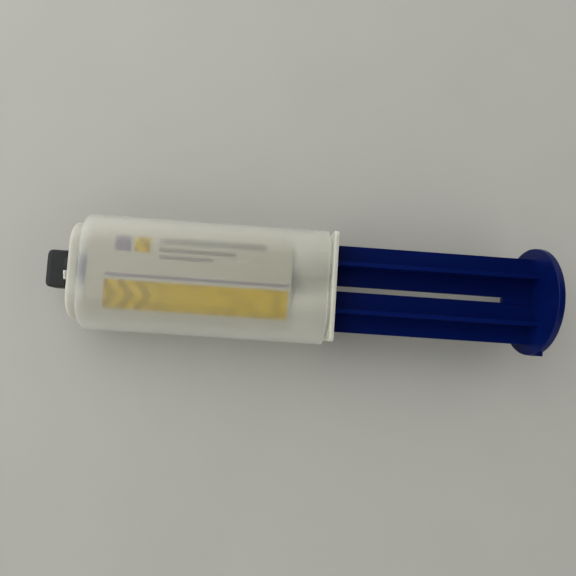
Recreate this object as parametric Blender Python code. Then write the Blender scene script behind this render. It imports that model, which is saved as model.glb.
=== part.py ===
"""Two-part adhesive cartridge in a frosted sleeve, with a hand plunger.

Frame: +X runs along the tool from the cap to the thumb disc, +Y across the two barrels, +Z up.
The origin is the middle of the flange's rear face, on the wall between the two bores.
All sizes are in metres and all angles in degrees.
"""
import math

import bmesh
import bpy

# Fits
FIT_GAP = 0.0003              # between pieces that touch
ROD_CLEARANCE = 0.0003        # plunger rod in its bore, at each side
PISTON_CLEARANCE = 0.0005     # piston body in its bore, at each side

# Twin barrel
BARREL_PITCH = 0.0220         # between the two bore axes
BORE_DIAMETER = 0.0200
BARREL_WALL = 0.00175
STROKE = 0.0810               # travel of the pistons from full to empty
END_CLEARANCE = 0.0008        # left between the pistons and the front wall at the end of the stroke
GUIDE_LENGTH = 0.0210         # bore behind the pistons, which guides the rods
FRONT_WALL = 0.0050
HEAD_LENGTH = 0.0090          # oval front end that joins the two tubes
HEAD_ROUNDING = 0.0016
BRIDGE_DEPTH = 0.0042         # from the barrels' crowns down to the web that fills the valley
BORE_LEAD_IN = 0.0004
FLANGE_THICKNESS = 0.0020
FLANGE_OVERHANG = 0.00255     # beyond the barrels, on all four sides
FLANGE_CORNER = 0.0025
FLANGE_EDGE = 0.0003

# Outlets and turn-lock closure
OUTLET_PITCH = 0.0074
OUTLET_DIAMETER = 0.0052
PLUG_PLATE = 0.0008           # thickness of the plate that carries the two stems
PIVOT_DIAMETER = 0.0032
PIVOT_LENGTH = 0.0030
CAP_SKIRT = 0.0008            # wall around the plug's plate
CAP_FLOOR = 0.0011
LUG_REACH = 0.0010
LUG_THICKNESS = 0.0007
LUG_ARC = 15.0
HOOK_WALL = 0.0012
HOOK_LIP = 0.0005
HOOK_ARC = 20.0
HOOK_STOP_ARC = 5.0
HOOK_MIDDLE = 107.5           # from +Y towards +Z, with the cap locked
TURN_CLEARANCE = 0.0004       # between the grip and the hooks it sweeps over
GRIP_WIDTH = 0.0174
GRIP_HEIGHT = 0.0096
GRIP_LENGTH = 0.0096
GRIP_CORNER = 0.0028
GRIP_EDGE = 0.0010

# Pistons and their seal rings
PISTON_LENGTH = 0.0140
PISTON_CHAMFER = 0.0007
PISTON_CUP_DEPTH = 0.0070
PISTON_SKIRT = 0.0016
PISTON_WAIST = 0.0005         # depth of the relieved stretch behind the ring
PISTON_LAND = 0.0014          # guide land at each end of the relieved stretch
RING_SECTION = 0.0020
RING_SETBACK = 0.0018         # piston face to the ring's groove

# Plunger
PLATE_THICKNESS = 0.0020
RIB_THICKNESS = 0.0018
PUSH_PAD = 0.0020             # round pad at the tip of each rod
SLOT_RESERVE = 0.0016         # slot left open at the end of the stroke
WEB_LENGTH = 0.0130           # from the end of the slot to the thumb disc
WEB_HEIGHT = 0.0026
WEB_LAP = 0.0003              # how far the web reaches into the rods
DISC_DIAMETER = 0.0514
DISC_THICKNESS = 0.0030
DISC_FRONT_EDGE = 0.0005
DISC_PALM_EDGE = 0.0005
TAB_WIDTH = 0.0100            # small straight tab on the rear of the disc's rim
TAB_OFFSET = 0.0043           # its middle above the disc's middle
TAB_DEPTH = 0.0030
TAB_THICKNESS = 0.0014
TAB_PROUD = 0.0001
TAB_INSET = 0.0002            # tab's rear face in front of the palm face

# Outer sleeve
SLEEVE_WALL = 0.0015
SLEEVE_SIDE_GAP = 0.00285     # barrel side to the sleeve's inner wall
SLEEVE_TOP_GAP = 0.00145      # barrel crown to the sleeve's inner wall
SLEEVE_REAR_GAP = 0.0017      # flange to the sleeve's rear rim
SLEEVE_SETBACK = 0.0053       # cartridge front to the sleeve's front
SLEEVE_LIP = 0.0008           # inward lip at the sleeve's front
SLEEVE_NOSE = 0.0022          # rounding around the sleeve's front
SLEEVE_RIM_EDGE = 0.0004
SLEEVE_RIB = 0.0012           # thickness of the two ribs that centre the cartridge
SLEEVE_RIB_END = 0.0020       # rear rim to the ribs' ends

# Label
LABEL_LENGTH = 0.0920         # from the head to short of the flange
LABEL_THICKNESS = 0.0002
LABEL_WRAP = 65.0             # from the crown of each barrel down its outer side

# Smoothness of the round forms
TURN_STEPS = 64
INNER_STEPS = 40              # pistons and rings, which the barrels hide
RING_STEPS = 10
END_STEPS = 28                # each round end of an oval
ROUND_STEPS = 4               # small edge roundings
SMOOTH_ANGLE = 32.0

# Derived sizes
BORE_RADIUS = BORE_DIAMETER / 2
BARREL_RADIUS = BORE_RADIUS + BARREL_WALL
BARREL_Y = BARREL_PITCH / 2
BARREL_WIDTH = BARREL_PITCH + 2 * BARREL_RADIUS
BARREL_HEIGHT = 2 * BARREL_RADIUS
BARREL_LENGTH = GUIDE_LENGTH + PISTON_LENGTH + STROKE + END_CLEARANCE + FRONT_WALL
FRONT_X = -BARREL_LENGTH
CHAMBER_END_X = FRONT_X + FRONT_WALL
PISTON_X = -GUIDE_LENGTH
PLUG_RADIUS = (OUTLET_PITCH + OUTLET_DIAMETER) / 2
CAP_X = FRONT_X - FIT_GAP
CAP_RECESS = PLUG_PLATE + FIT_GAP
CAP_BASE_RADIUS = PLUG_RADIUS + FIT_GAP + CAP_SKIRT
LUG_RADIUS = CAP_BASE_RADIUS + LUG_REACH
LIP_RADIUS = CAP_BASE_RADIUS + FIT_GAP
HOOK_INNER_RADIUS = LUG_RADIUS + FIT_GAP
HOOK_RADIUS = HOOK_INNER_RADIUS + HOOK_WALL
HOOK_UNDERSIDE = FIT_GAP + LUG_THICKNESS + FIT_GAP
HOOK_HEIGHT = HOOK_UNDERSIDE + HOOK_LIP
CAP_BASE_DEPTH = max(CAP_RECESS + CAP_FLOOR, HOOK_HEIGHT + TURN_CLEARANCE - FIT_GAP)
PISTON_RADIUS = BORE_RADIUS - PISTON_CLEARANCE
RING_RADIUS = BORE_RADIUS - FIT_GAP - RING_SECTION / 2
GROOVE_RADIUS = RING_RADIUS - RING_SECTION / 2 - FIT_GAP
GROOVE_WIDTH = RING_SECTION + 2 * FIT_GAP
ROD_RADIUS = BORE_RADIUS - ROD_CLEARANCE
TIP_X = PISTON_X + FIT_GAP
SLOT_END_X = STROKE + SLOT_RESERVE
DISC_X = SLOT_END_X + WEB_LENGTH
DISC_RADIUS = DISC_DIAMETER / 2
SLEEVE_INNER_WIDTH = BARREL_WIDTH + 2 * SLEEVE_SIDE_GAP
SLEEVE_INNER_HEIGHT = BARREL_HEIGHT + 2 * SLEEVE_TOP_GAP
SLEEVE_WIDTH = SLEEVE_INNER_WIDTH + 2 * SLEEVE_WALL
SLEEVE_HEIGHT = SLEEVE_INNER_HEIGHT + 2 * SLEEVE_WALL
SLEEVE_REAR_X = -(FLANGE_THICKNESS + SLEEVE_REAR_GAP)
SLEEVE_LENGTH = BARREL_LENGTH - SLEEVE_SETBACK + SLEEVE_REAR_X
LABEL_X = FRONT_X + HEAD_LENGTH + FIT_GAP
OVERSHOOT = 0.0010            # how far a cutter runs past the face it opens
SINK = 0.0004                 # how far joined shapes reach into each other


def clear_scene():
    """Remove every object, so that the script can be run again."""
    for old in list(bpy.data.objects):
        bpy.data.objects.remove(old, do_unlink=True)


def arc(centre, radius, first, last, steps):
    """Points of an arc in the (y, z) plane, with angles counted from +Y towards +Z."""
    points = []
    for step in range(steps + 1):
        angle = math.radians(first + (last - first) * step / steps)
        points.append((centre[0] + radius * math.cos(angle), centre[1] + radius * math.sin(angle)))
    return points


def circle(radius, steps=TURN_STEPS, centre=(0.0, 0.0)):
    """Outline of a circle in the (y, z) plane."""
    return arc(centre, radius, 0, 360, steps)[:-1]


def oval(width, height):
    """Outline of a flat oval: two half circles joined by straight sides."""
    offset = (width - height) / 2
    right = arc((offset, 0.0), height / 2, -90, 90, END_STEPS)
    left = arc((-offset, 0.0), height / 2, 90, 270, END_STEPS)
    return right + left


def rounded_rectangle(width, height, corner):
    """Outline of a rectangle with round corners."""
    y, z = width / 2 - corner, height / 2 - corner
    points = arc((y, z), corner, 0, 90, ROUND_STEPS)
    points += arc((-y, z), corner, 90, 180, ROUND_STEPS)
    points += arc((-y, -z), corner, 180, 270, ROUND_STEPS)
    points += arc((y, -z), corner, 270, 360, ROUND_STEPS)
    return points


def as_object(bm, name="blank"):
    """Turn a bmesh into an object with its faces pointing out."""
    bmesh.ops.recalc_face_normals(bm, faces=bm.faces)
    mesh = bpy.data.meshes.new(name)
    bm.to_mesh(mesh)
    bm.free()
    made = bpy.data.objects.new(name, mesh)
    bpy.context.scene.collection.objects.link(made)
    return made


def loft(rings):
    """Closed solid through outlines of equal point count, given as (x, outline) from end to end."""
    bm = bmesh.new()
    loops = []
    for x, outline in rings:
        verts = [bm.verts.new((x, y, z)) for y, z in outline]
        loops.append([bm.edges.new((verts[i - 1], verts[i])) for i in range(len(verts))])
        if x in (rings[0][0], rings[-1][0]):
            bm.faces.new(verts)
    for near, far in zip(loops, loops[1:]):
        bmesh.ops.bridge_loops(bm, edges=near + far)
    return as_object(bm)


def prism(outline, x_first, x_last):
    """Closed solid with one outline all along X."""
    return loft([(x_first, outline), (x_last, outline)])


def block(x_range, y_range, z_range):
    """Box between the given limits."""
    (y0, y1), (z0, z1) = y_range, z_range
    return prism([(y0, z0), (y1, z0), (y1, z1), (y0, z1)], *x_range)


def turned(profile, first=0.0, last=360.0, steps=TURN_STEPS):
    """Solid made by turning a profile of (x, radius) points about the X axis.

    A profile that starts and ends on the axis gives a full solid, and a part turn gets flat ends.
    """
    bm = bmesh.new()
    around = math.radians(first)
    verts = [bm.verts.new((x, r * math.cos(around), r * math.sin(around))) for x, r in profile]
    whole = last - first >= 360.0
    open_profile = whole and profile[0][1] == 0.0 and profile[-1][1] == 0.0
    for i in range(1 if open_profile else 0, len(verts)):
        bm.edges.new((verts[i - 1], verts[i]))
    if not whole:
        bm.faces.new(verts)
    shape = bm.verts[:] + bm.edges[:] + bm.faces[:]
    bmesh.ops.spin(bm, geom=shape, cent=(0, 0, 0), axis=(1, 0, 0), dvec=(0, 0, 0),
                   angle=math.radians(last - first), steps=steps, use_merge=whole)
    bmesh.ops.remove_doubles(bm, verts=bm.verts, dist=1e-7)
    return as_object(bm)


def combine(base, tools, operation):
    """Join the tools to the base, or cut them from it, and remove them."""
    for tool in tools:
        step = base.modifiers.new("combine", "BOOLEAN")
        step.operation = operation
        step.solver = "EXACT"
        step.object = tool
        evaluated = base.evaluated_get(bpy.context.evaluated_depsgraph_get())
        shaped = bpy.data.meshes.new_from_object(evaluated)
        base.modifiers.clear()
        base.data = shaped
        bpy.data.objects.remove(tool, do_unlink=True)
    return base


def join(base, *tools):
    """One body from shapes that reach into each other."""
    return combine(base, tools, "UNION")


def cut(base, *tools):
    """The base without the tools."""
    return combine(base, tools, "DIFFERENCE")


def plastic(name, colour, roughness, alpha=1.0):
    """Moulded plastic in one colour."""
    made = bpy.data.materials.new(name)
    made.use_nodes = True
    shader = made.node_tree.nodes["Principled BSDF"]
    shader.inputs["Base Color"].default_value = (*colour, 1.0)
    shader.inputs["Roughness"].default_value = roughness
    shader.inputs["Metallic"].default_value = 0.0
    shader.inputs["Alpha"].default_value = alpha
    return made


def place(made, name, material, location=(0.0, 0.0, 0.0), parent=None):
    """Name a finished piece, shade it and set it in its place."""
    made.name = name
    made.data.name = name
    made.data.materials.clear()
    made.data.materials.append(material)
    made.data.shade_smooth()
    made.data.set_sharp_from_angle(angle=math.radians(SMOOTH_ANGLE))
    made.location = location
    made.parent = parent
    return made


def barrel_axes():
    """The two bores' centres in the (y, z) plane, first A, then B."""
    return {"a": (BARREL_Y, 0.0), "b": (-BARREL_Y, 0.0)}


def rounded_rings(outline, x_face, x_side, rounding):
    """Rings of a rounded end, from the side to the end face, where outline(inset) gives the shape."""
    rings = []
    for step in range(ROUND_STEPS + 1):
        angle = math.radians(90 * step / ROUND_STEPS)
        along = (1 - math.sin(angle)) * rounding
        inset = (1 - math.cos(angle)) * rounding
        rings.append((x_face + math.copysign(along, x_side - x_face), outline(inset)))
    return rings


def hook(middle):
    """Turn-lock hook on the cartridge front: a curved wall, its inward lip and its end stop."""
    root_x = FRONT_X + SINK
    under_x = FRONT_X - HOOK_UNDERSIDE
    tip_x = FRONT_X - HOOK_HEIGHT
    bent = [(root_x, HOOK_RADIUS), (tip_x, HOOK_RADIUS), (tip_x, LIP_RADIUS),
            (under_x, LIP_RADIUS), (under_x, HOOK_INNER_RADIUS), (root_x, HOOK_INNER_RADIUS)]
    full = [(root_x, HOOK_RADIUS), (tip_x, HOOK_RADIUS), (tip_x, LIP_RADIUS), (root_x, LIP_RADIUS)]
    first, last = middle - HOOK_ARC / 2, middle + HOOK_ARC / 2
    overlap = HOOK_STOP_ARC / 4
    arm = turned(bent, first, last, ROUND_STEPS * 2)
    stop = turned(full, last - overlap, last - overlap + HOOK_STOP_ARC, ROUND_STEPS)
    return join(arm, stop)


def make_twin_barrel(material):
    """Cartridge body: two tubes with a web between them, an oval head, a flange and two outlets."""
    tubes = [prism(circle(BARREL_RADIUS, centre=centre), FRONT_X + HEAD_ROUNDING, -FLANGE_THICKNESS / 2)
             for centre in barrel_axes().values()]

    def head_outline(inset):
        return oval(BARREL_WIDTH - 2 * inset, BARREL_HEIGHT - 2 * inset)

    def flange_outline(inset):
        width = BARREL_WIDTH + 2 * (FLANGE_OVERHANG - inset)
        height = BARREL_HEIGHT + 2 * (FLANGE_OVERHANG - inset)
        return rounded_rectangle(width, height, FLANGE_CORNER)

    head_rear = FRONT_X + HEAD_LENGTH
    head = loft(rounded_rings(head_outline, FRONT_X, head_rear, HEAD_ROUNDING)[::-1]
                + [(head_rear, head_outline(0.0))])
    flange_front = rounded_rings(flange_outline, -FLANGE_THICKNESS, 0.0, FLANGE_EDGE)
    flange_rear = rounded_rings(flange_outline, 0.0, -FLANGE_THICKNESS, FLANGE_EDGE)
    flange = loft(flange_front[::-1] + flange_rear)
    bridge_z = BARREL_RADIUS - BRIDGE_DEPTH
    bridge = block((head_rear - SINK, -FLANGE_THICKNESS / 2), (-BARREL_Y / 2, BARREL_Y / 2),
                   (-bridge_z, bridge_z))
    body = join(flange, *tubes, head, bridge)

    for centre in barrel_axes().values():
        bore = prism(circle(BORE_RADIUS, centre=centre), CHAMBER_END_X, OVERSHOOT)
        wide = circle(BORE_RADIUS + BORE_LEAD_IN + OVERSHOOT, centre=centre)
        mouth = loft([(-BORE_LEAD_IN, circle(BORE_RADIUS, centre=centre)), (OVERSHOOT, wide)])
        side = math.copysign(OUTLET_PITCH / 2, centre[0])
        outlet = prism(circle(OUTLET_DIAMETER / 2, TURN_STEPS // 2, (side, 0.0)),
                       FRONT_X - OVERSHOOT, CHAMBER_END_X + SINK)
        body = cut(body, join(bore, mouth), outlet)
    body = join(body, hook(HOOK_MIDDLE), hook(HOOK_MIDDLE + 180))
    return place(body, "twin_barrel", material)


def make_piston(side, centre, material, ring_material):
    """Piston with a cup towards the rod, and the seal ring in its groove."""
    front = -PISTON_LENGTH
    groove = front + RING_SETBACK
    waist_front = groove + GROOVE_WIDTH + PISTON_LAND
    profile = [
        (front, 0.0), (front, PISTON_RADIUS - PISTON_CHAMFER), (front + PISTON_CHAMFER, PISTON_RADIUS),
        (groove, PISTON_RADIUS), (groove, GROOVE_RADIUS),
        (groove + GROOVE_WIDTH, GROOVE_RADIUS), (groove + GROOVE_WIDTH, PISTON_RADIUS),
        (waist_front, PISTON_RADIUS), (waist_front + PISTON_WAIST, PISTON_RADIUS - PISTON_WAIST),
        (-PISTON_LAND - PISTON_WAIST, PISTON_RADIUS - PISTON_WAIST), (-PISTON_LAND, PISTON_RADIUS),
        (0.0, PISTON_RADIUS), (0.0, PISTON_RADIUS - PISTON_SKIRT),
        (-PISTON_CUP_DEPTH, PISTON_RADIUS - PISTON_SKIRT), (-PISTON_CUP_DEPTH, 0.0)]
    piston = place(turned(profile, steps=INNER_STEPS), "piston_" + side, material, (PISTON_X, *centre))
    section = circle(RING_SECTION / 2, RING_STEPS)
    ring = turned([(x, RING_RADIUS + r) for x, r in section], steps=INNER_STEPS)
    place(ring, "piston_ring_" + side, ring_material, (groove + GROOVE_WIDTH / 2, 0.0, 0.0), piston)


def make_plunger(material):
    """Twin plunger in one moulding: two cross-shaped rods, a web between them and the thumb disc."""
    root = DISC_X - TIP_X
    across, thin, tall = ROD_RADIUS, PLATE_THICKNESS / 2, RIB_THICKNESS / 2
    rods, pads = [], []
    for y, _ in barrel_axes().values():
        cross = [(across, -thin), (across, thin), (tall, thin), (tall, across), (-tall, across),
                 (-tall, thin), (-across, thin), (-across, -thin), (-tall, -thin), (-tall, -across),
                 (tall, -across), (tall, -thin)]
        rods.append(prism([(y + a, z) for a, z in cross], PUSH_PAD - SINK, root + SINK))
        pads.append(prism(circle(PISTON_RADIUS, centre=(y, 0.0)), 0.0, PUSH_PAD))
    half_slot = BARREL_Y - ROD_RADIUS + WEB_LAP
    web = block((SLOT_END_X - TIP_X, root + SINK), (-half_slot, half_slot), (-WEB_HEIGHT / 2, WEB_HEIGHT / 2))

    front = [(root + (1 - math.sin(a)) * DISC_FRONT_EDGE, DISC_RADIUS - (1 - math.cos(a)) * DISC_FRONT_EDGE)
             for a in (math.radians(90 - 90 * i / ROUND_STEPS) for i in range(ROUND_STEPS + 1))]
    back_x = root + DISC_THICKNESS
    back = [(back_x - (1 - math.sin(a)) * DISC_PALM_EDGE, DISC_RADIUS - (1 - math.cos(a)) * DISC_PALM_EDGE)
            for a in (math.radians(90 * i / ROUND_STEPS) for i in range(ROUND_STEPS + 1))]
    disc = turned([(root, 0.0)] + front + back + [(back_x, 0.0)], steps=TURN_STEPS * 3 // 2)
    tab_rear = back_x - TAB_INSET
    tab = block((tab_rear - TAB_THICKNESS, tab_rear), (-DISC_RADIUS - TAB_PROUD, -DISC_RADIUS + TAB_DEPTH),
                (TAB_OFFSET - TAB_WIDTH / 2, TAB_OFFSET + TAB_WIDTH / 2))
    plunger = join(disc, tab, *rods, *pads, web)
    place(plunger, "plunger", material, (TIP_X, 0.0, 0.0))


def make_cap_plug(material):
    """Plug that closes both outlets: a round plate with two stems and the pivot that the cap turns on."""
    front = -PLUG_PLATE
    plate = prism(circle(PLUG_RADIUS), front, 0.0)
    pivot = prism(circle(PIVOT_DIAMETER / 2, TURN_STEPS // 2), front - PIVOT_LENGTH, front + SINK)
    stems = [prism(circle(OUTLET_DIAMETER / 2 - FIT_GAP, TURN_STEPS // 2, (side * OUTLET_PITCH / 2, 0.0)),
                   -SINK, FRONT_WALL) for side in (1, -1)]
    place(join(plate, pivot, *stems), "cap_plug", material, (CAP_X, 0.0, 0.0))


def make_turn_cap(material):
    """Turn-lock cap: a hollow round base with two lugs, and a flat grip."""
    base = prism(circle(CAP_BASE_RADIUS), -CAP_BASE_DEPTH - SINK, 0.0)
    lug_profile = [(0.0, CAP_BASE_RADIUS - SINK), (0.0, LUG_RADIUS),
                   (-LUG_THICKNESS, LUG_RADIUS), (-LUG_THICKNESS, CAP_BASE_RADIUS - SINK)]
    lugs = [turned(lug_profile, middle - LUG_ARC / 2, middle + LUG_ARC / 2, ROUND_STEPS * 2)
            for middle in (HOOK_MIDDLE, HOOK_MIDDLE + 180)]

    def grip_outline(inset):
        return rounded_rectangle(GRIP_WIDTH - 2 * inset, GRIP_HEIGHT - 2 * inset, GRIP_EDGE)

    end_x = -CAP_BASE_DEPTH - GRIP_LENGTH
    grip = loft(rounded_rings(grip_outline, end_x, -CAP_BASE_DEPTH, GRIP_CORNER)[::-1]
                + [(-CAP_BASE_DEPTH, grip_outline(0.0))])
    recess = prism(circle(PLUG_RADIUS + FIT_GAP), -CAP_RECESS, OVERSHOOT)
    pivot_end = -PLUG_PLATE - PIVOT_LENGTH - FIT_GAP
    socket = prism(circle(PIVOT_DIAMETER / 2 + FIT_GAP, TURN_STEPS // 2), pivot_end, 0.0)
    cap = cut(join(grip, base, *lugs), join(recess, socket))
    place(cap, "turn_cap", material, (CAP_X, 0.0, 0.0))


def make_outer_sleeve(material):
    """Oval sleeve, open at both ends, with a lip at the front and two ribs that centre the cartridge."""
    def outside(inset):
        return oval(SLEEVE_WIDTH - 2 * inset, SLEEVE_HEIGHT - 2 * inset)

    front = -SLEEVE_LENGTH
    rim = rounded_rings(outside, 0.0, front, SLEEVE_RIM_EDGE)
    nose = rounded_rings(outside, front, 0.0, SLEEVE_NOSE)
    shell = loft(nose[::-1] + rim)
    lip_clearance = BARREL_WIDTH + 2 * FIT_GAP, BARREL_HEIGHT + 2 * FIT_GAP
    opening = prism(oval(*lip_clearance), front - OVERSHOOT, front + SLEEVE_LIP + OVERSHOOT)
    hollow = prism(oval(SLEEVE_INNER_WIDTH, SLEEVE_INNER_HEIGHT), front + SLEEVE_LIP, OVERSHOOT)
    shell = cut(shell, hollow, opening)
    near, far = BARREL_WIDTH / 2 + FIT_GAP, SLEEVE_INNER_WIDTH / 2 + SINK
    ribs = [block((front + SLEEVE_LIP - SINK, -SLEEVE_RIB_END), sorted((side * near, side * far)),
                  (-SLEEVE_RIB / 2, SLEEVE_RIB / 2)) for side in (1, -1)]
    place(join(shell, *ribs), "outer_sleeve", material, (SLEEVE_REAR_X, 0.0, 0.0))


def make_label(material):
    """Printed label across the crowns of both barrels, bridging the valley between them."""
    def path(radius):
        right = arc((BARREL_Y, 0.0), radius, 90 - LABEL_WRAP, 90, END_STEPS // 2)
        left = arc((-BARREL_Y, 0.0), radius, 90, 90 + LABEL_WRAP, END_STEPS // 2)
        return right + left

    inner = BARREL_RADIUS + FIT_GAP
    outline = path(inner + LABEL_THICKNESS) + path(inner)[::-1]
    place(prism(outline, 0.0, LABEL_LENGTH), "label", material, (LABEL_X, 0.0, 0.0))


def main():
    """Model the whole cartridge and its plunger."""
    clear_scene()
    natural = plastic("natural_polypropylene", (0.80, 0.80, 0.74), 0.38)
    frosted = plastic("frosted_polypropylene", (0.78, 0.78, 0.72), 0.45, 0.5)
    blue = plastic("blue_polypropylene", (0.004, 0.010, 0.085), 0.33)
    black = plastic("black_polyamide", (0.020, 0.021, 0.022), 0.45)
    white = plastic("white_polyethylene", (0.75, 0.75, 0.72), 0.40)
    rubber = plastic("black_nitrile_rubber", (0.012, 0.012, 0.012), 0.70)
    film = plastic("label_film", (0.72, 0.71, 0.66), 0.50)
    make_twin_barrel(natural)
    for side, centre in barrel_axes().items():
        make_piston(side, centre, white, rubber)
    make_plunger(blue)
    make_cap_plug(black)
    make_turn_cap(black)
    make_outer_sleeve(frosted)
    make_label(film)


main()
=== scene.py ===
"""Looks of a two-part adhesive cartridge with a hand plunger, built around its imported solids.

The file is laid out as an add-on: settings, one operator for each piece or group, and a panel.
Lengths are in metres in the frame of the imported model: +X to the thumb disc, +Y across the
barrels.
"""

import math

import bmesh
import bpy
from bpy.props import FloatProperty, FloatVectorProperty, IntProperty, PointerProperty
from mathutils import Matrix, Vector


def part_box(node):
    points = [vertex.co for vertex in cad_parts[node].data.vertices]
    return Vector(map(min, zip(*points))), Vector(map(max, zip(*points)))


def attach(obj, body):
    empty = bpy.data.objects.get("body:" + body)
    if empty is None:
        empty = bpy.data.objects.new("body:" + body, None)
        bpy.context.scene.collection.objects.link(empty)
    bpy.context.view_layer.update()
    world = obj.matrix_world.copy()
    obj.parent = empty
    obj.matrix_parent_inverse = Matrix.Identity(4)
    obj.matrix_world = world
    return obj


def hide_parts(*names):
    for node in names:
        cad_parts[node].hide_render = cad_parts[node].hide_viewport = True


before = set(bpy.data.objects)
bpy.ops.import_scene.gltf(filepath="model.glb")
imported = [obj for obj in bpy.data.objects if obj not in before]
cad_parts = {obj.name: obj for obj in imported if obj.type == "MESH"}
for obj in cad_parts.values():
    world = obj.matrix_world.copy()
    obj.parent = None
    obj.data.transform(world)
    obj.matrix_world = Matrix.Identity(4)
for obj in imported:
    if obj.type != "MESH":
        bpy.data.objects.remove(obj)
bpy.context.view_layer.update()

bl_info = {
    "name": "Two-part cartridge looks",
    "version": (1, 0, 0),
    "blender": (4, 5, 0),
    "location": "3D View > Sidebar > Cartridge",
    "description": "Finishes the pieces of a hand-pushed two-part adhesive cartridge",
    "category": "Object",
}

MM = 0.001

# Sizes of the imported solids
SLEEVE_LOW, SLEEVE_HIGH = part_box("outer_sleeve")
PLUNGER_LOW, PLUNGER_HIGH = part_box("plunger")
LABEL_LOW, LABEL_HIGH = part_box("label")
PLUG_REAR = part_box("cap_plug")[1].x
BARREL_PITCH = 22.0 * MM            # between the two bores
BARREL_RADIUS = 11.75 * MM          # outside of each barrel
BARREL_SIDE = BARREL_PITCH / 2 + BARREL_RADIUS
DISC_THICKNESS = 3.0 * MM           # thumb disc

# Meshes
SHARP_ANGLE = math.radians(34)      # steeper edges stay crisp when a piece is shaded smooth
FLAT_ANGLE = math.radians(0.4)      # flatter edges only come from triangles of one face
MERGE_DISTANCE = 0.001 * MM
NOSE_STEPS = 6                      # steps of the sleeve's rounded front

# Moulded surfaces
STREAK_LIMITS = (0.35, 0.75)        # noise values between which the second tone sets in
GRAIN_SWING = 0.06                  # roughness that the grain adds and takes away

# Painted shade in the barrels' head, standing in for the dark plug seen through the wall
PAINTED_PLUG_SHADE_REACH = (4.4 * MM, 11.0 * MM)    # half size along the head and across it
PAINTED_PLUG_SHADE_SETBACK = 3.0 * MM       # from the plug's rear end to the middle of the shade

# Label print: paper fibres are too fine to show, so they are drawn coarser
FIBRE_SIZE = 2.5 * MM
WEAR_SIZE = 6.0 * MM                # patches of uneven ink in the band
WEAR_LIMITS = (0.4, 0.75)           # noise values between which a patch darkens
BAND_MIDDLE = -10.5                 # across the label, in millimetres
CHEVRON_SLOPE = 0.8
CHEVRON_HALF_PITCH = 4.0 * MM
CHEVRON_EDGE = (1.8 * MM, 2.2 * MM)
CHEVRON_FADE = (22.0 * MM, 46.0 * MM)   # from the label's front end
# Printed shapes, in millimetres from the label's front end and middle line: middle, size, ink
PRINT = (
    ((49.5, BAND_MIDDLE), (82.5, 13.0), "band"),
    ((49.5, -1.8), (82.5, 1.2), "accent"),
    ((15.5, 12.6), (7.0, 7.0), "accent"),
    ((24.2, 12.6), (7.0, 7.0), "band"),
    ((56.0, 14.9), (48.0, 2.8), "ink"),
    ((49.0, 10.6), (34.0, 1.7), "ink"),
    ((44.0, 7.4), (24.0, 1.7), "ink"),
)

# Stage
FLOOR_REACH = 12.0                  # half of the floor's side
FLOOR_SEGMENTS = 8
LAMP_TARGET = Vector((-15.0 * MM, 0.0, 0.0))
SKY_COLOUR = (1.0, 1.0, 0.98, 1.0)
DIM_SKY = Vector((0.27, 0.05, 0.96)).normalized()   # middle of the dim sky, nearly overhead
DIM_SKY_EDGE = (0.66, 0.86)         # cosines between which the sky dims
SENSOR_WIDTH = 36.0                 # in millimetres
CAMERA_NEAR = 10.0 * MM


def linear(hex_colour):
    """Linear RGB of an sRGB hex colour such as "#8899AA"."""
    parts = [int(hex_colour[i:i + 2], 16) / 255 for i in (1, 3, 5)]
    return [c / 12.92 if c <= 0.04045 else ((c + 0.055) / 1.055) ** 2.4 for c in parts]


def length(name, description, default):
    """Length property in metres."""
    return FloatProperty(name=name, description=description, default=default, min=0.0,
                         subtype="DISTANCE", unit="LENGTH", precision=5)


def colour(name, description, default):
    """Colour property from an sRGB hex value."""
    return FloatVectorProperty(name=name, description=description, default=linear(default),
                               min=0.0, max=1.0, size=3, subtype="COLOR")


def factor(name, description, default):
    """Property between 0 and 1."""
    return FloatProperty(name=name, description=description, default=default,
                         min=0.0, max=1.0, subtype="FACTOR")


def place(name, description, default):
    """Place property in metres."""
    return FloatVectorProperty(name=name, description=description, default=default,
                               subtype="TRANSLATION", unit="LENGTH")


class SleeveLook(bpy.types.PropertyGroup):
    """Sizes and finish of the frosted sleeve."""

    wall: length("Wall", "Thickness of the sleeve's wall", 1.5 * MM)
    lip_length: length("Lip length", "Length of the inward lip at the front", 0.8 * MM)
    lip_clearance: length("Lip clearance", "Gap between the lip and the barrels", 0.3 * MM)
    nose: length("Nose", "Radius around the front rim", 2.2 * MM)
    edge: length("Edge rounding", "Radius on the sleeve's edges", 0.3 * MM)
    rib: length("Rib", "Thickness of the two ribs that centre the cartridge", 1.2 * MM)
    rib_gap: length("Rib gap", "Gap between a rib and the barrel", 0.3 * MM)
    rib_end: length("Rib end", "Distance of a rib from the lip and from the rear rim", 2.0 * MM)
    steps: IntProperty(name="Steps", description="Steps of a quarter turn",
                       default=24, min=6, max=64)
    tint: colour("Tint", "Colour of the frosted wall", "#F2F2EE")
    light_tint: colour("Light tint", "Share of the lighting that each surface lets through",
                       "#FCFCF9")
    bloom: factor("Bloom", "Milky sheen where the wall is seen edge-on", 0.3)
    clearness: factor("Clearness", "Share of the view that passes the surface", 1.0)
    frost: factor("Frost", "Roughness that blurs what is behind the wall", 0.67)


class LabelLook(bpy.types.PropertyGroup):
    """Thickness of the label, and colours of its plain generic print."""

    thickness: length("Thickness", "Thickness of the label stock", 0.2 * MM)
    steps: IntProperty(name="Steps", description="Steps of each wrapped side",
                       default=20, min=4, max=64)
    paper: colour("Paper", "Label stock", "#A09E92")
    band: colour("Band", "Main colour band", "#AE9400")
    band_deep: colour("Deep band", "Second tone of the band", "#78640A")
    ink: colour("Ink", "Grey bars", "#7A7872")
    accent: colour("Accent", "Violet-grey square and line", "#716B79")


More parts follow.
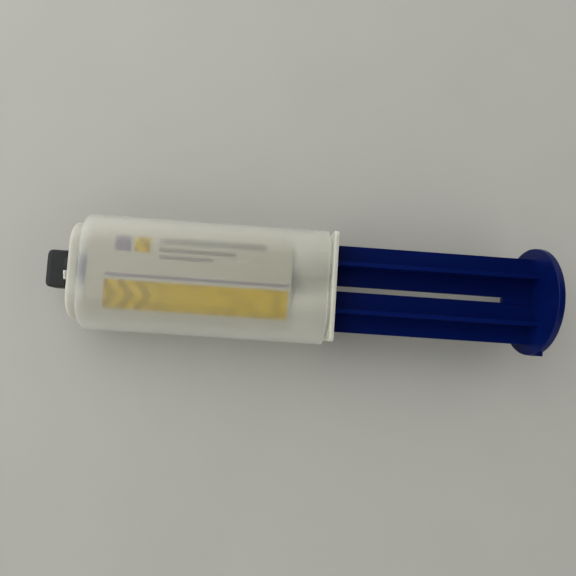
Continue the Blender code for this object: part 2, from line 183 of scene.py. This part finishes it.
class MouldingLook(bpy.types.PropertyGroup):
    """Colours and edge roundings of the moulded pieces."""

    barrel_edge: length("Barrel edges", "Radius on the barrel's edges", 0.15 * MM)
    plunger_edge: length("Plunger edges", "Radius on the plunger's edges", 0.35 * MM)
    cap_edge: length("Cap edges", "Radius on the cap's edges", 0.25 * MM)
    natural: colour("Natural", "Uncoloured polypropylene of the barrels", "#B4B3A9")
    # Painted shade in the barrels' head, where the dark plug lies behind the wall
    painted_plug_shade: colour("Plug shade", "Plug showing through the barrels' head", "#4E5970")
    blue: colour("Blue", "Plunger", "#011048")
    blue_pale: colour("Pale blue", "Plunger's lighter streaks", "#031552")
    black: colour("Black", "Cap and plug", "#181A1A")
    white: colour("White", "Pistons", "#D8D8D2")
    rubber: colour("Rubber", "Seal rings", "#1B1B1B")


class StageLook(bpy.types.PropertyGroup):
    """Floor, light and camera."""

    floor: colour("Floor", "Plain pale floor", "#B4B3AC")
    sky_low: FloatProperty(name="Low sky", description="Even light from the sides",
                           default=0.96, min=0.0)
    sky_high: FloatProperty(name="High sky", description="Even light from overhead",
                            default=0.03, min=0.0)
    key: FloatProperty(name="Key", description="Power of the large lamp",
                       default=8.7, min=0.0, unit="POWER")
    key_size: length("Key size", "Side of the large lamp", 1.6)
    key_place: place("Key place", "Where the large lamp hangs", (-0.55, 0.475, 0.65))
    camera_place: place("Camera place", "Where the camera stands",
                        (-37.372 * MM, -25.777 * MM, 244.086 * MM))
    camera_turn: FloatVectorProperty(name="Camera turn", description="How the camera is turned",
                                     default=(0.0629, -0.0363, 0.0662), subtype="EULER")
    lens: FloatProperty(name="Lens", description="Focal length in millimetres",
                        default=32.17, min=1.0)
    shift: FloatVectorProperty(name="Shift", description="Camera shift in widths of the picture",
                               default=(0.0333, 0.0289), size=2)


def add_node(tree, kind, settings=None, inputs=None):
    """Add a shader node with its settings, and its inputs by value or by link."""
    made = tree.nodes.new(kind)
    for name, value in (settings or {}).items():
        setattr(made, name, value)
    for key, value in (inputs or {}).items():
        if isinstance(value, bpy.types.NodeSocket):
            tree.links.new(value, made.inputs[key])
        else:
            made.inputs[key].default_value = value
    return made


def start_material(name, constants):
    """New material whose shader has these plain values; gives it with its node tree and shader."""
    material = bpy.data.materials.new(name)
    material.use_nodes = True
    shader = material.node_tree.nodes["Principled BSDF"]
    for socket, value in constants.items():
        shader.inputs[socket].default_value = value
    return material, material.node_tree, shader


def rgba(rgb):
    """Opaque colour for a shader socket."""
    return (*rgb, 1.0)


def toned(rgb, share):
    """Lighter or darker tone of a colour."""
    return [c * share for c in rgb]


def moulded(name, constants, tone, streak, grain, depth, flow=(1.0, 1.0, 1.0)):
    """Moulded or pressed surface with soft streaks of a second tone and a fine grain.

    The streak and grain sizes are in metres, and flow stretches the streaks along the mould's
    filling. Real mould grain is under 0.1 mm, too fine to show, so it is drawn coarser.
    """
    material, tree, shader = start_material(name, constants)
    spot = add_node(tree, "ShaderNodeTexCoord").outputs["Object"]
    along = add_node(tree, "ShaderNodeMapping", inputs={
        "Vector": spot, "Scale": flow}).outputs[0]
    cloud = add_node(tree, "ShaderNodeTexNoise", inputs={
        "Vector": along, "Scale": 1 / streak, "Detail": 3.0, "Roughness": 0.55}).outputs["Fac"]
    share = add_node(tree, "ShaderNodeMapRange", {"interpolation_type": "SMOOTHSTEP"}, {
        "Value": cloud, "From Min": STREAK_LIMITS[0], "From Max": STREAK_LIMITS[1]}).outputs[0]
    base = tuple(shader.inputs["Base Color"].default_value)
    tones = add_node(tree, "ShaderNodeMix", {"data_type": "RGBA"}, {
        "Factor": share, "A": base, "B": rgba(tone)}).outputs["Result"]
    tree.links.new(tones, shader.inputs["Base Color"])
    fine = add_node(tree, "ShaderNodeTexNoise", inputs={
        "Vector": spot, "Scale": 1 / grain, "Detail": 2.0}).outputs["Fac"]
    rough = shader.inputs["Roughness"].default_value
    satin = add_node(tree, "ShaderNodeMapRange", inputs={
        "Value": fine, "To Min": rough - GRAIN_SWING, "To Max": rough + GRAIN_SWING}).outputs[0]
    tree.links.new(satin, shader.inputs["Roughness"])
    bump = add_node(tree, "ShaderNodeBump", inputs={
        "Height": fine, "Strength": 0.35, "Distance": depth}).outputs[0]
    tree.links.new(bump, shader.inputs["Normal"])
    return material


def frosted_polypropylene(look):
    """Frosted moulded polypropylene: a milky wall that blurs what lies behind it.

    Light from the lamps and from other surfaces passes the wall, so the barrels inside it are
    lit. The IOR is matched, below the 1.49 of the solid plastic, so that the strong frost
    doesn't wash out the print.
    """
    material = moulded("frosted_polypropylene", {
        "Base Color": rgba(look.tint), "Roughness": look.frost, "IOR": 1.39,
        "Transmission Weight": look.clearness, "Specular IOR Level": 0.3,
        "Coat Weight": 0.05, "Coat Roughness": 0.28, "Coat IOR": 1.49,
        "Sheen Weight": look.bloom, "Sheen Roughness": 0.35},
        tone=toned(look.tint, 0.96), streak=18 * MM, grain=0.9 * MM, depth=0.01 * MM,
        flow=(0.4, 1.0, 1.0))
    tree = material.node_tree
    shader = tree.nodes["Principled BSDF"]
    ray = add_node(tree, "ShaderNodeLightPath").outputs
    lighting = add_node(tree, "ShaderNodeMath", {"operation": "MAXIMUM"}, {
        0: ray["Is Shadow Ray"], 1: ray["Is Diffuse Ray"]}).outputs[0]
    passing = add_node(tree, "ShaderNodeBsdfTransparent", inputs={"Color": rgba(look.light_tint)})
    both = add_node(tree, "ShaderNodeMixShader", inputs={
        0: lighting, 1: shader.outputs[0], 2: passing.outputs[0]})
    tree.links.new(both.outputs[0], tree.nodes["Material Output"].inputs["Surface"])
    return material


def natural_polypropylene(look):
    """Uncoloured polypropylene, waxy off-white; painted shade on the head over the dark plug."""
    material = moulded("natural_polypropylene", {
        "Base Color": rgba(look.natural), "Roughness": 0.36, "IOR": 1.49,
        "Subsurface Weight": 1.0, "Subsurface Radius": (9 * MM, 8.5 * MM, 7.5 * MM),
        "Subsurface Scale": 1.0},
        tone=toned(look.natural, 0.93), streak=14 * MM, grain=0.8 * MM, depth=0.008 * MM,
        flow=(0.3, 1.0, 1.0))
    tree = material.node_tree
    shader = tree.nodes["Principled BSDF"]
    plain = shader.inputs["Base Color"].links[0].from_socket
    # Painted shade: a soft dark patch on the head, standing in for the dark plug seen through the
    # wall
    along, across = PAINTED_PLUG_SHADE_REACH
    middle = PLUG_REAR + PAINTED_PLUG_SHADE_SETBACK
    spot = add_node(tree, "ShaderNodeTexCoord").outputs["Object"]
    around = add_node(tree, "ShaderNodeMapping", inputs={
        "Vector": spot, "Location": (-middle / along, 0.0, 0.0),
        "Scale": (1 / along, 1 / across, 0.0)}).outputs[0]
    near = add_node(tree, "ShaderNodeTexGradient", {"gradient_type": "SPHERICAL"}, {
        "Vector": around}).outputs["Fac"]
    share = add_node(tree, "ShaderNodeMapRange", {"interpolation_type": "SMOOTHSTEP"}, {
        "Value": near, "From Max": 0.8, "To Max": 0.85}).outputs[0]
    with_painted_shade = add_node(tree, "ShaderNodeMix", {"data_type": "RGBA"}, {
        "Factor": share, "A": plain, "B": rgba(look.painted_plug_shade)}).outputs["Result"]
    tree.links.new(with_painted_shade, shader.inputs["Base Color"])
    return material


def blue_polypropylene(look):
    """Deep blue moulded polypropylene: satin, with faint paler streaks along the rods."""
    return moulded("blue_polypropylene", {
        "Base Color": rgba(look.blue), "Roughness": 0.33, "IOR": 1.49,
        "Specular IOR Level": 0.13},
        tone=look.blue_pale, streak=16 * MM, grain=0.7 * MM, depth=0.008 * MM,
        flow=(0.2, 1.0, 1.0))


def black_polyamide(look):
    """Charcoal moulded polyamide: the spark-eroded mould leaves a fine matte grain."""
    return moulded("black_polyamide", {
        "Base Color": rgba(look.black), "Roughness": 0.5, "IOR": 1.53,
        "Specular IOR Level": 0.28},
        tone=toned(look.black, 1.25), streak=7 * MM, grain=0.6 * MM, depth=0.02 * MM)


def white_polyethylene(look):
    """White moulded polyethylene: soft waxy sheen."""
    return moulded("white_polyethylene", {
        "Base Color": rgba(look.white), "Roughness": 0.42, "IOR": 1.51},
        tone=toned(look.white, 0.92), streak=9 * MM, grain=0.7 * MM, depth=0.006 * MM)


def nitrile_rubber(look):
    """Black nitrile rubber: dull, with a slightly dusty surface."""
    return moulded("nitrile_rubber", {
        "Base Color": rgba(look.rubber), "Roughness": 0.72, "IOR": 1.52},
        tone=toned(look.rubber, 1.8), streak=3 * MM, grain=0.4 * MM, depth=0.01 * MM)


def label_film(look):
    """Coated paper label: dull, with a plain print of a band with chevrons, squares and bars."""
    material, tree, shader = start_material("label_film", {
        "Base Color": rgba(look.paper), "Roughness": 0.5, "IOR": 1.5, "Specular IOR Level": 0.2})
    spot = add_node(tree, "ShaderNodeTexCoord").outputs["Object"]
    split = add_node(tree, "ShaderNodeSeparateXYZ", inputs={"Vector": spot})
    x, y = split.outputs["X"], split.outputs["Y"]
    front = LABEL_LOW.x
    fibre = add_node(tree, "ShaderNodeTexNoise", inputs={
        "Vector": spot, "Scale": 1 / FIBRE_SIZE, "Detail": 3.0}).outputs["Fac"]
    surface = add_node(tree, "ShaderNodeMix", {"data_type": "RGBA"}, {
        "Factor": fibre, "A": rgba(toned(look.paper, 0.94)),
        "B": rgba(look.paper)}).outputs["Result"]

    ripple = add_node(tree, "ShaderNodeTexNoise", inputs={
        "Vector": spot, "Scale": 1 / WEAR_SIZE, "Detail": 3.0}).outputs["Fac"]
    worn = add_node(tree, "ShaderNodeMapRange", {"interpolation_type": "SMOOTHSTEP"}, {
        "Value": ripple, "From Min": WEAR_LIMITS[0], "From Max": WEAR_LIMITS[1],
        "To Max": 0.55}).outputs[0]
    off_middle = add_node(tree, "ShaderNodeMath", {"operation": "SUBTRACT"}, {
        0: y, 1: BAND_MIDDLE * MM}).outputs[0]
    aside = add_node(tree, "ShaderNodeMath", {"operation": "ABSOLUTE"}, {
        0: off_middle}).outputs[0]
    slant = add_node(tree, "ShaderNodeMath", {"operation": "MULTIPLY_ADD"}, {
        0: aside, 1: CHEVRON_SLOPE, 2: x}).outputs[0]
    zigzag = add_node(tree, "ShaderNodeMath", {"operation": "PINGPONG"}, {
        0: slant, 1: CHEVRON_HALF_PITCH}).outputs[0]
    fade = add_node(tree, "ShaderNodeMapRange", {"interpolation_type": "SMOOTHSTEP"}, {
        "Value": x, "From Min": front + CHEVRON_FADE[0], "From Max": front + CHEVRON_FADE[1],
        "To Min": 0.7, "To Max": 0.0}).outputs[0]
    stripe = add_node(tree, "ShaderNodeMapRange", inputs={
        "Value": zigzag, "From Min": CHEVRON_EDGE[0], "From Max": CHEVRON_EDGE[1],
        "To Max": fade}).outputs[0]
    deep = add_node(tree, "ShaderNodeMath", {"operation": "MAXIMUM"}, {
        0: stripe, 1: worn}).outputs[0]
    band = add_node(tree, "ShaderNodeMix", {"data_type": "RGBA"}, {
        "Factor": deep, "A": rgba(look.band), "B": rgba(look.band_deep)}).outputs["Result"]

    inks = {"band": band, "accent": rgba(look.accent), "ink": rgba(look.ink)}
    for (along, across), (long, wide), ink in PRINT:
        in_x = add_node(tree, "ShaderNodeMath", {"operation": "COMPARE"}, {
            0: x, 1: front + along * MM, 2: long / 2 * MM}).outputs[0]
        in_y = add_node(tree, "ShaderNodeMath", {"operation": "COMPARE"}, {
            0: y, 1: across * MM, 2: wide / 2 * MM}).outputs[0]
        inside = add_node(tree, "ShaderNodeMath", {"operation": "MULTIPLY"}, {
            0: in_x, 1: in_y}).outputs[0]
        surface = add_node(tree, "ShaderNodeMix", {"data_type": "RGBA"}, {
            "Factor": inside, "A": surface, "B": inks[ink]}).outputs["Result"]
    tree.links.new(surface, shader.inputs["Base Color"])
    bump = add_node(tree, "ShaderNodeBump", inputs={
        "Height": fibre, "Strength": 0.2, "Distance": 0.01 * MM}).outputs[0]
    tree.links.new(bump, shader.inputs["Normal"])
    return material


def floor_laminate(look):
    """Pale matte laminate, with a faint mottle."""
    return moulded("floor_laminate", {"Base Color": rgba(look.floor), "Roughness": 0.6},
                   tone=toned(look.floor, 0.97), streak=60 * MM, grain=1.5 * MM,
                   depth=0.005 * MM)


def merged_copy(node):
    """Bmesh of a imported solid, with its loose triangles joined into whole faces."""
    bm = bmesh.new()
    bm.from_mesh(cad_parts[node].data)
    bmesh.ops.remove_doubles(bm, verts=bm.verts, dist=MERGE_DISTANCE)
    bmesh.ops.dissolve_limit(bm, angle_limit=FLAT_ANGLE, verts=bm.verts, edges=bm.edges)
    return bm


def sweep_round(bm, profile, centre, angle, steps):
    """Turn a profile about the X axis of a centre on Y; gives the profile at the far end."""
    return bmesh.ops.spin(bm, geom=profile, cent=(0, centre, 0), axis=(1, 0, 0), dvec=(0, 0, 0),
                          angle=angle, steps=steps, use_merge=False,
                          use_duplicate=False)["geom_last"]


def sweep_across(bm, profile, distance):
    """Draw a profile out along Y; gives the profile at the far end."""
    edges = [g for g in profile if isinstance(g, bmesh.types.BMEdge)]
    drawn = bmesh.ops.extrude_edge_only(bm, edges=edges)["geom"]
    far_end = [g for g in drawn if not isinstance(g, bmesh.types.BMFace)]
    bmesh.ops.translate(bm, vec=(0, distance, 0),
                        verts=[g for g in far_end if isinstance(g, bmesh.types.BMVert)])
    return far_end


def round_edges(bm, radius, segments):
    """Round every crisp edge."""
    crisp = [e for e in bm.edges if e.is_manifold and e.calc_face_angle() > SHARP_ANGLE]
    bmesh.ops.bevel(bm, geom=crisp, offset=radius, offset_type="OFFSET", affect="EDGES",
                    segments=segments, profile=0.5, material=-1, clamp_overlap=True,
                    loop_slide=True)


def finish_piece(bm, name, material, node, body, level=False):
    """Make the piece's object at the origin, shade it, and set it in the place of its solid.

    A level piece keeps its flat faces evenly lit right up to their rounded edges.
    """
    mesh = bpy.data.meshes.new(name)
    bm.to_mesh(mesh)
    bm.free()
    stale = mesh.attributes.get("custom_normal")    # the solid's own, from before the rounding
    if stale:
        mesh.attributes.remove(stale)
    mesh.materials.clear()
    mesh.materials.append(material)
    mesh.shade_smooth()
    mesh.set_sharp_from_angle(angle=SHARP_ANGLE)
    piece = bpy.data.objects.new(name, mesh)
    bpy.context.scene.collection.objects.link(piece)
    if level:
        piece.modifiers.new("level_faces", "WEIGHTED_NORMAL").keep_sharp = True
    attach(piece, body)
    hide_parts(node)


class CARTRIDGE_OT_sleeve(bpy.types.Operator):
    """Model the frosted oval sleeve"""

    bl_idname = "cartridge.sleeve"
    bl_label = "Frosted sleeve"

    def execute(self, context):
        look = context.scene.sleeve_look
        outer = (SLEEVE_HIGH.z - SLEEVE_LOW.z) / 2
        inner = outer - look.wall
        lip = BARREL_RADIUS + look.lip_clearance
        centre = SLEEVE_HIGH.y - outer
        front, rear = SLEEVE_LOW.x, SLEEVE_HIGH.x
        lip_end = front + look.lip_length
        rib_front, rib_rear = lip_end + look.rib_end, rear - look.rib_end
        turns = [math.pi / 2 * i / NOSE_STEPS for i in range(NOSE_STEPS + 1)]
        nose = [(front + look.nose * (1 - math.cos(t)), outer - look.nose * (1 - math.sin(t)))
                for t in turns]
        wall = [(front, lip), *nose, (rear, outer), (rear, inner), (rib_rear, inner),
                (rib_front, inner), (lip_end, inner), (lip_end, lip)]

        bm = bmesh.new()
        verts = [bm.verts.new((x, centre, -radius)) for x, radius in wall]
        profile = verts + [bm.edges.new((verts[i - 1], verts[i])) for i in range(len(verts))]
        rib_turn = 2 * math.asin(look.rib / 2 / inner)
        quarter = (math.pi - rib_turn) / 2
        for side in (1, -1):
            for angle, steps in ((quarter, look.steps), (rib_turn, 1), (quarter, look.steps)):
                profile = sweep_round(bm, profile, side * centre, angle, steps)
            profile = sweep_across(bm, profile, -2 * side * centre)
        bmesh.ops.remove_doubles(bm, verts=bm.verts, dist=MERGE_DISTANCE)
        bmesh.ops.recalc_face_normals(bm, faces=bm.faces)

        rib_depth = centre + inner - BARREL_SIDE - look.rib_gap
        middle = (rib_front + rib_rear) / 2
        for side in (1, -1):
            spot = Vector((middle, side * (centre + inner), 0.0))
            seat = min(bm.faces, key=lambda f: (f.calc_center_median() - spot).length)
            raised = bmesh.ops.extrude_face_region(bm, geom=[seat])["geom"]
            bmesh.ops.delete(bm, geom=[seat], context="FACES_ONLY")
            bmesh.ops.translate(bm, vec=(0, -side * rib_depth, 0),
                                verts=[g for g in raised if isinstance(g, bmesh.types.BMVert)])
        round_edges(bm, look.edge, segments=3)
        finish_piece(bm, "frosted_sleeve", frosted_polypropylene(look), "outer_sleeve", "sleeve")
        return {"FINISHED"}


class CARTRIDGE_OT_barrel(bpy.types.Operator):
    """Finish the twin barrel with its flange"""

    bl_idname = "cartridge.barrel"
    bl_label = "Twin barrel"

    def execute(self, context):
        look = context.scene.moulding_look
        bm = merged_copy("twin_barrel")
        round_edges(bm, look.barrel_edge, segments=2)
        finish_piece(bm, "barrel_pair", natural_polypropylene(look), "twin_barrel", "cartridge",
                     level=True)
        return {"FINISHED"}


class CARTRIDGE_OT_plunger(bpy.types.Operator):
    """Finish the blue plunger"""

    bl_idname = "cartridge.plunger"
    bl_label = "Plunger"

    def execute(self, context):
        look = context.scene.moulding_look
        bm = merged_copy("plunger")
        round_edges(bm, look.plunger_edge, segments=3)
        finish_piece(bm, "push_rods", blue_polypropylene(look), "plunger", "plunger",
                     level=True)
        return {"FINISHED"}


class CARTRIDGE_OT_cap(bpy.types.Operator):
    """Finish the turn-lock cap and its plug"""

    bl_idname = "cartridge.cap"
    bl_label = "Cap and plug"

    def execute(self, context):
        look = context.scene.moulding_look
        black = black_polyamide(look)
        for name, node, body in (("grip_cap", "turn_cap", "cap"),
                                 ("outlet_plug", "cap_plug", "cartridge")):
            bm = merged_copy(node)
            round_edges(bm, look.cap_edge, segments=2)
            finish_piece(bm, name, black, node, body, level=True)
        return {"FINISHED"}


class CARTRIDGE_OT_pistons(bpy.types.Operator):
    """Finish the two pistons and their seal rings"""

    bl_idname = "cartridge.pistons"
    bl_label = "Pistons and seal rings"

    def execute(self, context):
        look = context.scene.moulding_look
        white, rubber = white_polyethylene(look), nitrile_rubber(look)
        for side in "ab":
            body = "piston_" + side
            finish_piece(merged_copy(body), "push_cup_" + side, white, body, body)
            ring = "piston_ring_" + side
            finish_piece(merged_copy(ring), "seal_ring_" + side, rubber, ring, body)
        return {"FINISHED"}


class CARTRIDGE_OT_label(bpy.types.Operator):
    """Model the printed label that bridges the two barrels"""

    bl_idname = "cartridge.label"
    bl_label = "Label"

    def execute(self, context):
        look = context.scene.label_look
        centre = BARREL_PITCH / 2
        radius = LABEL_HIGH.z
        wrap = math.asin((LABEL_HIGH.y - centre) / radius)
        side = Vector((0.0, centre + radius * math.sin(wrap), radius * math.cos(wrap)))

        bm = bmesh.new()
        ends = [bm.verts.new((x, side.y, side.z)) for x in (LABEL_LOW.x, LABEL_HIGH.x)]
        edge = ends + [bm.edges.new(ends)]
        crown = sweep_round(bm, edge, centre, wrap, look.steps)
        far_crown = sweep_across(bm, crown, -2 * centre)
        sweep_round(bm, far_crown, -centre, wrap, look.steps)
        bmesh.ops.remove_doubles(bm, verts=bm.verts, dist=MERGE_DISTANCE)
        bmesh.ops.recalc_face_normals(bm, faces=bm.faces)
        if bm.faces[0].normal.z < 0:
            bmesh.ops.reverse_faces(bm, faces=bm.faces)
        bmesh.ops.solidify(bm, geom=bm.faces, thickness=look.thickness)
        finish_piece(bm, "printed_label", label_film(look), "label", "cartridge")
        return {"FINISHED"}


class CARTRIDGE_OT_stage(bpy.types.Operator):
    """Set the floor, the light and the camera"""

    bl_idname = "cartridge.stage"
    bl_label = "Stage"

    def execute(self, context):
        scene = context.scene
        look = scene.stage_look
        front_rest = Vector((SLEEVE_LOW.x + scene.sleeve_look.nose, 0.0, SLEEVE_LOW.z))
        rear_rest = Vector((PLUNGER_HIGH.x - DISC_THICKNESS / 2, 0.0, PLUNGER_LOW.z))
        along = rear_rest - front_rest
        lean = Matrix.Rotation(math.atan2(-along.z, along.x), 4, "Y")
        bm = bmesh.new()
        bmesh.ops.create_grid(bm, x_segments=FLOOR_SEGMENTS, y_segments=FLOOR_SEGMENTS,
                              size=FLOOR_REACH, matrix=Matrix.Translation(front_rest) @ lean)
        mesh = bpy.data.meshes.new("floor")
        bm.to_mesh(mesh)
        bm.free()
        mesh.materials.append(floor_laminate(look))
        floor = bpy.data.objects.new("floor", mesh)
        scene.collection.objects.link(floor)

        lamp = bpy.data.lights.new("key", "AREA")
        lamp.size = look.key_size
        lamp.energy = look.key
        holder = bpy.data.objects.new("key", lamp)
        holder.location = look.key_place
        aim = LAMP_TARGET - Vector(look.key_place)
        holder.rotation_euler = aim.to_track_quat("-Z", "Y").to_euler()
        scene.collection.objects.link(holder)

        world = bpy.data.worlds.new("even_light")
        scene.world = world
        world.use_nodes = True
        tree = world.node_tree
        way = add_node(tree, "ShaderNodeTexCoord").outputs["Generated"]
        near = add_node(tree, "ShaderNodeVectorMath", {"operation": "DOT_PRODUCT"}, {
            0: way, 1: DIM_SKY}).outputs["Value"]
        level = add_node(tree, "ShaderNodeMapRange", {"interpolation_type": "SMOOTHSTEP"}, {
            "Value": near, "From Min": DIM_SKY_EDGE[0], "From Max": DIM_SKY_EDGE[1],
            "To Min": look.sky_low, "To Max": look.sky_high}).outputs[0]
        tree.links.new(level, tree.nodes["Background"].inputs["Strength"])
        tree.nodes["Background"].inputs["Color"].default_value = SKY_COLOUR

        camera = bpy.data.cameras.new("camera")
        camera.lens = look.lens
        camera.sensor_width = SENSOR_WIDTH
        camera.shift_x, camera.shift_y = look.shift
        camera.clip_start = CAMERA_NEAR
        holder = bpy.data.objects.new("camera", camera)
        holder.location = look.camera_place
        holder.rotation_euler = look.camera_turn
        scene.collection.objects.link(holder)
        scene.camera = holder
        scene.view_settings.view_transform = "Standard"
        return {"FINISHED"}


class CARTRIDGE_PT_looks(bpy.types.Panel):
    """Buttons for the pieces and the stage"""

    bl_label = "Cartridge looks"
    bl_idname = "CARTRIDGE_PT_looks"
    bl_space_type = "VIEW_3D"
    bl_region_type = "UI"
    bl_category = "Cartridge"

    def draw(self, context):
        for operator in OPERATORS:
            self.layout.operator(operator.bl_idname)


OPERATORS = (CARTRIDGE_OT_sleeve, CARTRIDGE_OT_barrel, CARTRIDGE_OT_plunger, CARTRIDGE_OT_cap,
             CARTRIDGE_OT_pistons, CARTRIDGE_OT_label, CARTRIDGE_OT_stage)
LOOKS = {"sleeve_look": SleeveLook, "label_look": LabelLook, "moulding_look": MouldingLook,
         "stage_look": StageLook}


def register():
    """Register the settings, operators and panel."""
    for made in (*LOOKS.values(), *OPERATORS, CARTRIDGE_PT_looks):
        bpy.utils.register_class(made)
    for name, group in LOOKS.items():
        setattr(bpy.types.Scene, name, PointerProperty(type=group))


def unregister():
    """Undo what register did."""
    for name in LOOKS:
        delattr(bpy.types.Scene, name)
    for made in reversed((*LOOKS.values(), *OPERATORS, CARTRIDGE_PT_looks)):
        bpy.utils.unregister_class(made)


def main():
    """Run every operator in order."""
    register()
    bpy.ops.cartridge.barrel()
    bpy.ops.cartridge.label()
    bpy.ops.cartridge.pistons()
    bpy.ops.cartridge.plunger()
    bpy.ops.cartridge.cap()
    bpy.ops.cartridge.sleeve()
    bpy.ops.cartridge.stage()


if __name__ == "__main__":
    main()
